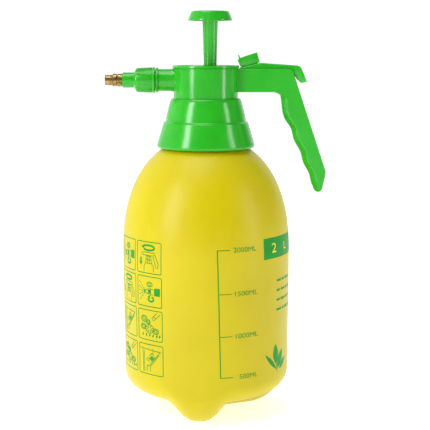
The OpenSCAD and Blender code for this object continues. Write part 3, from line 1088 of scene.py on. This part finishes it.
    def pictures(self) -> Piece:
        """Prints two columns of framed pictures."""
        order = (
            (Panel.OPEN, Panel.NOZZLE, Panel.PLANTS, Panel.WINDOW),
            (Panel.NOZZLE, Panel.OPEN, Panel.WINDOW, Panel.PLANTS),
        )
        strips, fills = [], []
        for (first, last), panels in zip(self.column_ends, order):
            for (low, high), panel in zip(self.rows, panels):
                drift = 0.9 * (1 - (low - 40) / 78)
                left, right = self.along(first + drift), self.along(last + drift)
                corner = self.frame_corner
                frame_line = []
                for cx, cz, turn in (
                    (right - corner, high - corner, 0), (left + corner, high - corner, 90),
                    (left + corner, low + corner, 180), (right - corner, low + corner, 270),
                ):
                    frame_line += arc(cx, cz, corner, turn, turn + 90, 4)
                strips.append((frame_line + [frame_line[0]], self.frame_width))
                pad = self.frame_pad
                wide, tall = right - left - 2 * pad, high - low - 2 * pad

                def place(path: Outline) -> list:
                    """Scales a drawing from 0..1 to its frame."""
                    return [(left + pad + px * wide, low + pad + pz * tall) for px, pz in path]

                picture = Picture.of(panel)
                strips += [(place(path), self.fine) for path in picture.lines]
                strips += [(place(path), self.bold) for path in picture.thick]
                fills += [place(path) for path in picture.fills]
        return self.wrap([self.flat("picture_lines", strips, fills)], "print_pictures")

    def build(self) -> None:
        """Prints everything and sets it on the bottle."""
        ink = SCREEN_INK.make()
        banner, volume = self.banner()
        for piece in (self.scale(), banner, self.reading_lines(), self.sprout(), self.pictures()):
            dress(piece, ink)
            settle(piece, "bottle", "green_pp")
        dress(volume, YELLOW_INK.make())
        settle(volume, "bottle", "bottle_hdpe")


# ---------------------------------------------------------------- green mouldings


def bevel_edges(
    piece: Piece,
    width: float,
    segments: int,
    wanted: Callable[[Vector, Vector], bool],
) -> Piece:
    """Rounds the sharp edges whose place suits.

    Args:
        piece: The object to change.
        width: Size of the rounding in millimetres.
        segments: Faces across it.
        wanted: Says whether to round an edge, from its middle and direction in millimetres.

    Returns:
        The same object.
    """
    choose(piece)
    mesh = piece.data
    count: dict[tuple[int, int], list[Vector]] = {}
    for face in mesh.polygons:
        for key in face.edge_keys:
            count.setdefault(key, []).append(face.normal.copy())
    open_mesh()
    bpy.ops.mesh.select_mode(type="EDGE")
    bpy.ops.mesh.select_all(action="DESELECT")
    close_mesh()
    found = 0
    for edge in mesh.edges:
        a, b = (mesh.vertices[i].co / MM for i in edge.vertices)
        normals = count.get(tuple(sorted(edge.vertices)), [])
        sharp = len(normals) == 2 and normals[0].angle(normals[1], 0) > math.radians(30)
        edge.select = sharp and wanted((a + b) / 2, (b - a).normalized())
        found += edge.select
    if found:
        open_mesh()
        bpy.ops.mesh.bevel(offset=width * MM, segments=segments, affect="EDGES", clamp_overlap=True)
    close_mesh()
    return piece


@dataclass
class Collar:
    """Screw collar: a stepped skirt over the bottle's neck.

    The outline is (radius, height) in millimetres.
    """

    outside: Outline = (
        (25.25, 246.9), (25.9, 246.75), (26.7, 246.3), (27.25, 245.5), (27.8, 244.2), (29.2, 239.1),
        (30.4, 234.0), (31.1, 230.2), (31.2, 229.3), (31.6, 228.8), (32.5, 228.4), (33.0, 227.9),
        (33.25, 226.9), (35.6, 219.1), (37.9, 211.3), (38.0, 210.5), (37.8, 209.5), (37.2, 208.7),
        (36.3, 208.4),
    )
    inside: Outline = (
        (34.6, 208.4), (34.8, 210.8), (31.2, 225.6), (30.5, 225.6), (30.5, 213.4), (28.3, 213.4),
        (28.3, 241.35), (25.25, 241.35),
    )
    webs: int = 12

    def build(self) -> None:
        """Models the collar with the thin webs behind its skirt."""
        piece = turned("collar_shell", self.outside + self.inside, steps=144, closed=True)
        webs = []
        for i in range(self.webs):
            web = slab("collar_web", (30.2, -0.6, 213.6), (31.6, 0.6, 226.0))
            webs.append(shift(web, (0, 0, 0), 360 / self.webs * (i + 0.5), "Z"))
        work(piece, webs, Joining.ADD)
        green_part(piece, 28, "collar", "collar")


@dataclass
class Head:
    """Head housing with its arm and its grip, whose front is waved for four fingers."""

    barrel_r: float = 24.95
    bore_r: float = 23.2
    top: float = 270.0
    floor: float = 238.0
    arm_w: float = 15.0
    front_band: float = 5.4
    front_drop: float = 3.2
    slot_w: float = 10.6
    cutter_top: float = 251.0
    cutter_length: float = 79.0
    cutter_rows: int = 70
    cutter_sides: int = 7
    swings: Outline = (
        (251.5, 1.9), (232.0, -1.7), (223.0, 0.4), (214.5, -0.6), (205.5, 0.9), (196.5, 0.0),
        (188.5, 1.2), (180.0, 0.3),
    )

    def finger(self, z: float) -> float:
        """Gives the place of the grip's waved front at a height."""
        swing = self.swings[-1][1]
        for (high, a), (low, b) in zip(self.swings, self.swings[1:]):
            if low <= z <= high:
                swing = a + (b - a) * (1 - math.cos(math.pi * (high - z) / (high - low))) / 2
                break
        return 151.8 - 0.3855 * z + swing

    def back(self, z: float) -> float:
        """Gives the place of the grip's straight back at a height."""
        return 155.1 - 0.3242 * z

    def arm_outline(self) -> list[tuple[float, float]]:
        """Draws the side of the arm and the grip."""
        points = [(20, 251.5), (51.6, 251.5), (54.1, 251.2)]
        points += [(self.finger(249.3 - i * 1.54), 249.3 - i * 1.54) for i in range(46)]
        points += arc(87.4, 177.6, 3.4, -165, -20, 8)
        points += [(93, 187.4)]
        points += arc(91.8, 190, 1.4, -10, 20, 2)
        points += arc(64.6, 267, 2.5, 20, 90, 6)
        points += [(20, 269.5)]
        return points

    def channel(self) -> Piece:
        """Makes the cutter for the channel along the arm and down the back of the grip."""
        inner = [(24.0, 253), (55.5, 253)]
        inner += [(self.finger(z) + 2.6, z) for z in [251 - i * 2.5 for i in range(27)]]
        inner += [(84.5, 184), (99, 184), (99, 280), (24.0, 280)]
        return plate("channel_cutter", inner, self.slot_w)

    def front_cutter(self, side: int) -> Piece:
        """Makes the cutter that slopes one side of the grip's waved front.

        Args:
            side: 1 or -1, the side of the grip.

        Returns:
            A closed bar that follows the waved front.
        """
        deselect()
        sides = self.cutter_sides
        bpy.ops.mesh.primitive_grid_add(x_subdivisions=sides, y_subdivisions=self.cutter_rows, size=1)
        piece = bpy.context.object
        half = self.arm_w / 2
        for vertex in piece.data.vertices:
            step = round((vertex.co.x + 0.5) * sides) % sides
            z = self.cutter_top - (vertex.co.y + 0.5) * self.cutter_length
            part = 1 - ease((z - 245.5) / 5)
            wide, deep = self.front_band * part, self.front_drop * part
            spare = 0.05 - 0.05 * part
            outline = (
                (wide, half + spare), (wide * 0.72, half - deep * 0.16 + spare),
                (wide * 0.4, half - deep * 0.48 + spare), (0.0, half - deep + spare),
                (-1.5, half - deep - 1.9 * part + spare),
                (-1.5, half + 2), (wide, half + 2),
            )
            ahead, aside = outline[step]
            vertex.co = Vector((self.finger(z) + ahead, side * aside, z)) * MM
        open_mesh()
        bpy.ops.mesh.select_mode(type="VERT")
        pick_all()
        bpy.ops.mesh.remove_doubles(threshold=0.00001)
        bpy.ops.mesh.select_all(action="DESELECT")
        bpy.ops.mesh.select_non_manifold()
        bpy.ops.mesh.edge_face_add()
        pick_all()
        bpy.ops.mesh.normals_make_consistent(inside=False)
        close_mesh()
        return piece

    def bore(self, name: str) -> Piece:
        """Makes a cutter that fills the inside of the barrel."""
        r = self.bore_r
        return turned(name, ((0, 243), (r, 243), (r, 280), (0, 280)), steps=144)

    def rib(self, z: float) -> Piece:
        """Makes one thin rib across the channel of the grip."""
        x0, x1 = self.finger(z) + 1.0, self.back(z) - 1.8
        reach = self.slot_w / 2 + 0.5
        return slab("grip_rib", (x0, -reach, z - 0.6), (x1, reach, z + 0.6))

    def build(self) -> None:
        """Models the housing from its barrel, arm, grip and spigot."""
        grip = plate("head_shell", self.arm_outline(), self.arm_w)
        bevel_edges(
            grip,
            0.9,
            3,
            lambda at, way: abs(at.y) > self.arm_w / 2 - 0.01 and abs(way.y) < 0.5 and at.x > 24,
        )
        work(grip, [self.front_cutter(1), self.front_cutter(-1)], Joining.CUT)
        work(grip, [self.channel()], Joining.CUT)
        work(grip, [self.rib(z) for z in (196, 211, 226, 240)], Joining.ADD)
        barrel = turned(
            "head_barrel",
            (
                (13.5, self.floor), (26.3, self.floor), (26.3, 241.3), (self.barrel_r, 241.3),
                (self.barrel_r, 269.6), (self.barrel_r - 0.4, self.top), (self.bore_r, self.top),
                (self.bore_r, 243), (13.5, 243),
            ),
            steps=144,
            closed=True,
        )
        work(grip, [self.bore("head_bore"), slab("arm_trim", (10, -9, 240), (22, 9, 280))], Joining.CUT)
        spigot = turned(
            "head_spigot",
            (
                (0, -20.0), (9.9, -20.5), (9.2, -23.4), (8.75, -26.2), (8.6, -29.5), (8.6, -36.4),
                (8.9, -36.7), (9.3, -36.75), (9.6, -37.1), (9.6, -38.2), (9.3, -38.6), (7.0, -38.6),
                (7.0, -48.6), (6.6, -49.0), (3.5, -49.0), (3.5, -30.0), (0, -30.0),
            ),
            axis="X",
            centre=(0, 0, 260.7),
            steps=72,
        )
        work(spigot, [self.bore("spigot_bore")], Joining.CUT)
        work(grip, [barrel, spigot], Joining.ADD)
        grip.name = "head_shell"
        work(grip, [drill("pivot_hole", 1.55, *PIVOT, -6.4, 23.6)], Joining.CUT)
        smooth(grip, 30)
        modify(grip, "WEIGHTED_NORMAL", keep_sharp=True)
        dress_green(grip)
        settle(grip, "head", "green_pp", "head_housing")


@dataclass
class Cap:
    """Screw-in cap over the pump's barrel."""

    radius: float = 25.85
    low: float = 270.0
    thick: float = 2.0
    axis_x: float = 3.4

    def build(self) -> None:
        """Models the cap's rim, its shallow dish and the guide of the pump's stem."""
        r, low = self.radius, self.low
        disc = turned(
            "cap_disc",
            (
                (0, low), (r - 0.3, low), (r, low + 0.3), (r, low + 1.3), (r - 0.25, low + 1.8),
                (r - 0.8, low + self.thick), (r - 2.0, low + self.thick), (r - 2.6, low + 1.55),
                (12.0, low + 1.75), (10.6, low + self.thick), (0, low + self.thick),
            ),
            steps=144,
        )
        centre = (self.axis_x, 0, 0)
        guide = turned("cap_guide", ((0, 262), (9, 262), (9, low + 0.4), (0, low + 0.4)), centre=centre)
        hole = turned("cap_hole", ((0, 250), (6.3, 250), (6.3, 280), (0, 280)), centre=centre)
        work(disc, [guide], Joining.ADD)
        work(disc, [hole], Joining.CUT)
        green_part(disc, 28, "head", "pump_cap")


@dataclass
class Plunger:
    """Pump knob on its stem."""

    axis_x: float = 3.4

    def build(self) -> None:
        """Models the stem, which widens upwards, and the dished knob with its hollow underside."""
        piece = turned(
            "pump_knob",
            (
                (0, 229), (4.7, 229), (5, 229.3), (5, 273), (5.9, 304.6), (6.3, 306.6), (7.4, 308.6),
                (9.0, 309.9), (12.9, 310.0), (13.9, 309.0), (15.2, 306.3), (15.6, 306.0),
                (16.8, 306.0), (17.0, 306.2), (17.0, 306.9), (16.8, 307.3), (14.9, 312.0),
                (14.5, 312.8), (13.8, 313.3), (12.6, 313.5), (0, 313.5),
            ),
            centre=(self.axis_x, 0, 0),
            steps=120,
        )
        ribs = []
        for turn in (0, 45, 90, 135):
            web = slab("knob_web", (-13.2, -0.6, 306.9), (13.2, 0.6, 310.6))
            ribs.append(shift(web, (self.axis_x, 0, 0), turn, "Z"))
        work(piece, ribs, Joining.ADD)
        green_part(piece, 28, "plunger", "plunger")


@dataclass
class Trigger:
    """Trigger lever over the arm, and the lock that stands on it."""

    width: float = 10.0
    tilt: float = 17.0
    lock_at: tuple[float, float] = (33.5, 268.2)

    def lever(self) -> None:
        """Models the bent lever with its fork."""
        outline = arc(29.2, 267, 2.9, 180, 300, 8)
        outline += [(36.2, 267.6), (58, 267.6)]
        outline += arc(60, 255.6, 12, 90, 30, 10)
        outline += [(73.5, 258.6), (78, 259.2), (75.6, 265.6)]
        outline += arc(69.6, 267.2, 4.8, 20, 86, 8)
        outline += [(55.8, 273), (43, 273.9), (38, 273.2), (33, 271.7), (28.6, 270.6), (26.3, 270.4)]
        piece = plate("trigger_bar", outline, self.width)
        bevel_edges(piece, 0.9, 3, lambda at, way: abs(way.y) < 0.5)
        fork = plate(
            "fork_cutter",
            [(20, 260), (36.2, 260), (37.4, 269.7), (45, 269.7), (45, 280), (20, 280)],
            6.4,
        )
        work(piece, [fork, drill("lever_pin_hole", 1.5, *PIVOT, -12, 12)], Joining.CUT)
        green_part(piece, 30, "trigger", "trigger_lever")

    def lock(self) -> None:
        """Models the lock: a shank on its pin, a block and a thin fin."""
        shank = [(3, 1.2), (2.2, -1), (0, -1.9), (-2, -1.2), (-2.4, 1), (-5.5, 4.9), (9.4, 4.2)]
        block = [(-5.6, 4.7), (-6.4, 10), (-4.3, 11.2), (9.7, 11.5), (9.65, 3.5)]
        fin = [(-5, 9.8), (-5, 13.5), (-4.5, 13.8), (-4, 13.7), (-3.8, 9.8)]
        parts = []
        stock = (("lock_block", block, 5.8), ("lock_shank", shank, 5.6), ("lock_fin", fin, 4.6))
        for name, outline, wide in stock:
            part = plate(name, outline, wide)
            bevel_edges(part, 0.35, 2, lambda at, way: True)
            parts.append(part)
        piece = work(parts[0], parts[1:], Joining.ADD)
        shift(piece, (self.lock_at[0], 0, self.lock_at[1]), -self.tilt, "Y")
        work(piece, [drill("lock_pin_hole", 1.02, *self.lock_at, -12, 12)], Joining.CUT)
        green_part(piece, 30, "lock", "trigger_lock")

    def build(self) -> None:
        """Models both pieces."""
        self.lever()
        self.lock()


@dataclass
class Nozzle:
    """Nozzle: green screw holder with fine ribs, brass stem and brass cap."""

    z: float = 260.7
    ribs: int = 60
    teeth: int = 26

    def holder(self) -> None:
        """Models the holder and its ribs."""
        piece = turned(
            "nozzle_cup",
            (
                (7.05, -39.1), (9.5, -39.1), (9.75, -39.35), (10.15, -39.6), (10.15, -40.5),
                (9.9, -40.9), (9.6, -41.1), (9.05, -53.3), (8.8, -53.9), (6.3, -55.2), (5.95, -55.7),
                (5.95, -64.0), (5.6, -64.35), (4, -64.35), (4, -56), (1.7, -56), (1.7, -50.6),
                (7.05, -50.6),
            ),
            axis="X",
            centre=(0, 0, self.z),
            steps=120,
            closed=True,
        )
        profile = [(-41.3, 9.4), (-41.7, 9.78), (-52.8, 9.22), (-53.4, 8.9), (-53.2, 8.6), (-41.5, 9.1)]
        first = plate("holder_rib", profile, 0.45)
        ribs = [first]
        for _ in range(self.ribs - 1):
            twin = first.copy()
            twin.data = first.data.copy()
            bpy.context.scene.collection.objects.link(twin)
            ribs.append(twin)
        for i, rib in enumerate(ribs):
            shift(rib, (0, 0, self.z), 360 * (i + 0.5) / self.ribs, "X")
        work(piece, [joined(ribs)], Joining.ADD)
        green_part(piece, 28, "nozzle_holder", "nozzle_holder")

    def knurl(self, piece: Piece, x0: float, x1: float, root: float, lean: float) -> None:
        """Cuts slanting teeth into a brass ring.

        Args:
            piece: The ring.
            x0: One end of the knurled band, in millimetres.
            x1: Its other end.
            root: Radius at the bottom of the teeth.
            lean: Degrees that each tooth turns along the band.
        """
        middle = (x0 + x1) / 2
        cutters = []
        for i in range(self.teeth):
            low = (x0 - middle - 0.6, -0.28, root)
            groove = slab("knurl_groove", low, (x1 - middle + 0.6, 0.28, root + 2))
            cutters.append(shift(groove, (middle, 0, self.z), 360 * i / self.teeth, "X", lean))
        work(piece, [joined(cutters)], Joining.CUT)

    def stem(self, brass: bpy.types.Material) -> None:
        """Models the brass stem with its knurled ring and its cone."""
        piece = turned(
            "brass_stem",
            (
                (0, -57.0), (3.95, -57.0), (3.95, -64.4), (4.7, -64.4), (4.95, -64.65), (4.95, -68.0),
                (4.6, -68.46), (3.3, -68.46), (3.0, -68.7), (3.0, -72.5), (0.9, -74.7), (0, -74.7),
            ),
            axis="X",
            centre=(0, 0, self.z),
            steps=96,
        )
        self.knurl(piece, -64.4, -68.3, 4.62, 32)
        smooth(piece, 30)
        dress(piece, brass)
        settle(piece, "nozzle_holder", "brass", "nozzle_stem")

    def tip(self, brass: bpy.types.Material) -> None:
        """Models the brass cap: knurled ring, plain tip, spray hole and slots."""
        piece = turned(
            "brass_cap",
            (
                (3.05, -68.85), (4.65, -68.85), (4.95, -69.15), (4.95, -71.6), (4.4, -72.06),
                (4.0, -72.3), (4.0, -77.4), (3.7, -77.9), (1.6, -77.9), (0.6, -76.9), (0.6, -76.2),
                (3.05, -75.4),
            ),
            axis="X",
            centre=(0, 0, self.z),
            steps=96,
            closed=True,
        )
        self.knurl(piece, -69.0, -71.9, 4.62, -32)
        slots = []
        for side in (-1, 1):
            low, high = sorted((side * 3.55, side * 5.0))
            slots.append(slab("cap_slot", (-79, -0.35, self.z + low), (-72.4, 0.35, self.z + high)))
        slots.append(slab("cap_front_slot", (-79, -4.4, self.z - 0.35), (-72.4, -3.6, self.z + 0.35)))
        work(piece, slots, Joining.CUT)
        smooth(piece, 30)
        dress(piece, brass)
        settle(piece, "nozzle_cap", "brass", "nozzle_cap")

    def build(self) -> None:
        """Models the holder and both brass pieces."""
        brass = BRASS.make()
        self.holder()
        self.stem(brass)
        self.tip(brass)


# ---------------------------------------------------------------- parts inside


@dataclass
class InnerParts:
    """Parts that show only inside, or when the sprayer is taken apart."""

    white: tuple[str, ...] = (
        "pump_barrel",
        "piston",
        "check_valve",
        "strainer",
        "dip_tube_elbow",
        "valve_body",
        "valve_plug",
        "valve_gland",
    )
    rubber: tuple[str, ...] = (
        "neck_gasket",
        "barrel_oring",
        "piston_seal",
        "valve_washer",
        "stem_oring",
        "nozzle_washer",
        "cap_oring",
    )
    tube: tuple[str, ...] = ("dip_tube", "inlet_hose", "outlet_hose")
    steel: tuple[str, ...] = ("valve_spring", "valve_stem", "trigger_pin", "lock_pin")

    def build(self) -> None:
        """Dresses each group in its material."""
        redress(self.white, WHITE_ACETAL.make())
        redress(self.rubber, NITRILE.make())
        redress(self.tube, LDPE_TUBE.make())
        redress(self.steel, STEEL.make())


# ---------------------------------------------------------------- studio


@dataclass
class Studio:
    """Pale floor, soft lights and the camera."""

    camera: tuple[float, float, float] = (7.1, -896.0, 287.4)
    pitch: float = 8.4
    lens: float = 96.28
    left_wall: float = 0.92
    right_wall: float = 0.3
    back_wall: float = 1.06
    dark_front: float = 0.25

    def floor(self) -> None:
        """Lays a pale matt floor, larger than any view."""
        deselect()
        bpy.ops.mesh.primitive_plane_add(size=12, location=(0, 0, 0))
        piece = bpy.context.object
        piece.name = "studio_floor"
        material, tree = blank("matt_paper_floor")
        fibre = cloud(tree, 1000 / 30, 2.0)
        surface(
            tree,
            Base_Color=shades(tree, fibre, (0.3, "#f7f7f6"), (0.7, "#fafafa")),
            Roughness=0.9,
            Emission_Color=linear("#ffffff"),
            Emission_Strength=0.62,
        )
        dress(piece, material)

    def sky(self) -> None:
        """Fills the room with white light, brightest at the left and behind and dim in front."""
        world = bpy.data.worlds.new("studio_room")
        bpy.context.scene.world = world
        world.use_nodes = True
        tree = world.node_tree
        tree.nodes.clear()
        way = node(tree, "ShaderNodeTexCoord").outputs["Generated"]
        split = node(tree, "ShaderNodeSeparateXYZ", None, {"Vector": way})
        smoothly = {"interpolation_type": "SMOOTHSTEP"}
        side = span(tree, split.outputs["X"], ((-0.9, 0.9), (self.left_wall, self.right_wall)), **smoothly)
        behind = span(tree, split.outputs["Y"], ((0.55, 0.88), (0, 1)), **smoothly)
        ahead = span(tree, split.outputs["Y"], ((-0.5, 0.3), (self.dark_front, 1)), **smoothly)
        walls = node(
            tree,
            "ShaderNodeMath",
            {"operation": "MULTIPLY"},
            {0: side, 1: ahead},
        )
        strength = node(
            tree,
            "ShaderNodeMix",
            {"data_type": "FLOAT"},
            {0: behind, 2: walls.outputs["Value"], 3: self.back_wall},
        )
        light = node(
            tree,
            "ShaderNodeBackground",
            None,
            {"Color": linear("#ffffff"), "Strength": strength.outputs[0]},
        )
        node(tree, "ShaderNodeOutputWorld", None, {"Surface": light.outputs["Background"]})

    def lamp(self, name: str, place: Sequence[float], size: tuple[float, float], power: float) -> None:
        """Hangs one soft box that faces the middle of the sprayer.

        Args:
            name: The lamp's name.
            place: Where it hangs, in millimetres.
            size: Its width and height in millimetres.
            power: Its output in watts.
        """
        data = bpy.data.lights.new(name, "AREA")
        data.shape = "RECTANGLE"
        data.size = size[0] * MM
        data.size_y = size[1] * MM
        data.energy = power
        lamp = bpy.data.objects.new(name, data)
        bpy.context.scene.collection.objects.link(lamp)
        at = Vector(place) * MM
        aim = Vector((0, 0, 150)) * MM - at
        turn = aim.to_track_quat("-Z", "Y")
        lamp.matrix_world = Matrix.Translation(at) @ turn.to_matrix().to_4x4()

    def build(self) -> None:
        """Sets up the whole studio."""
        self.floor()
        self.sky()
        self.lamp("left_softbox", (-860, -740, 620), (300, 900), 10.0)
        self.lamp("right_softbox", (1000, -420, 420), (200, 800), 3.6)
        self.lamp("top_softbox", (-200, -200, 1300), (700, 700), 6.0)
        camera = bpy.data.cameras.new("studio_camera")
        camera.lens = self.lens
        camera.sensor_width = 36
        camera.clip_start = 0.02
        camera.clip_end = 30
        holder = bpy.data.objects.new("studio_camera", camera)
        holder.location = Vector(self.camera) * MM
        holder.rotation_euler = (math.radians(90 - self.pitch), 0, 0)
        bpy.context.scene.collection.objects.link(holder)
        bpy.context.scene.camera = holder
        bpy.context.scene.view_settings.view_transform = "Standard"


def main() -> None:
    """Builds the sprayer piece by piece."""
    logging.basicConfig(level=logging.INFO, format="%(name)s: %(message)s")
    bottle = Bottle()
    bottle.build()
    BottlePrint(bottle).build()
    GREEN_PP.make()
    for part in (Collar(), Head(), Cap(), Plunger(), Trigger(), Nozzle()):
        part.build()
    InnerParts().build()
    Studio().build()


if __name__ == "__main__":
    main()
